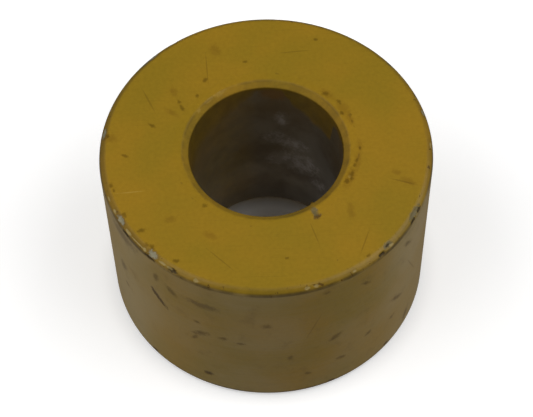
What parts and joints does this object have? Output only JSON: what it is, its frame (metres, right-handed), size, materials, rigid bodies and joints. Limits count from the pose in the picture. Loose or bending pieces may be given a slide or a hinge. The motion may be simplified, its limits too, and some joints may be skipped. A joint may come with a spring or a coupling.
{
  "type": "track roller",
  "caption": "Plain cylindrical track roller: thick-walled steel ring with a pressed-in wear bush and a through bore for the pin it turns on.",
  "frame": {"origin": "middle of the lower end face, on the bore axis", "axes": "+Z along the bore axis, up from the face the roller stands on; X and Y are equivalent"},
  "size_m": [0.108, 0.108, 0.07],
  "materials": {
    "yellow_paint": "worn satin enamel over steel, chipped at the rim",
    "bush_steel": "dark bare hardened steel with paint overspray at the mouths"
  },
  "bodies": {
    "root": {"roller_body": "yellow_paint", "bore_bush": "bush_steel"}
  },
  "joints": []
}
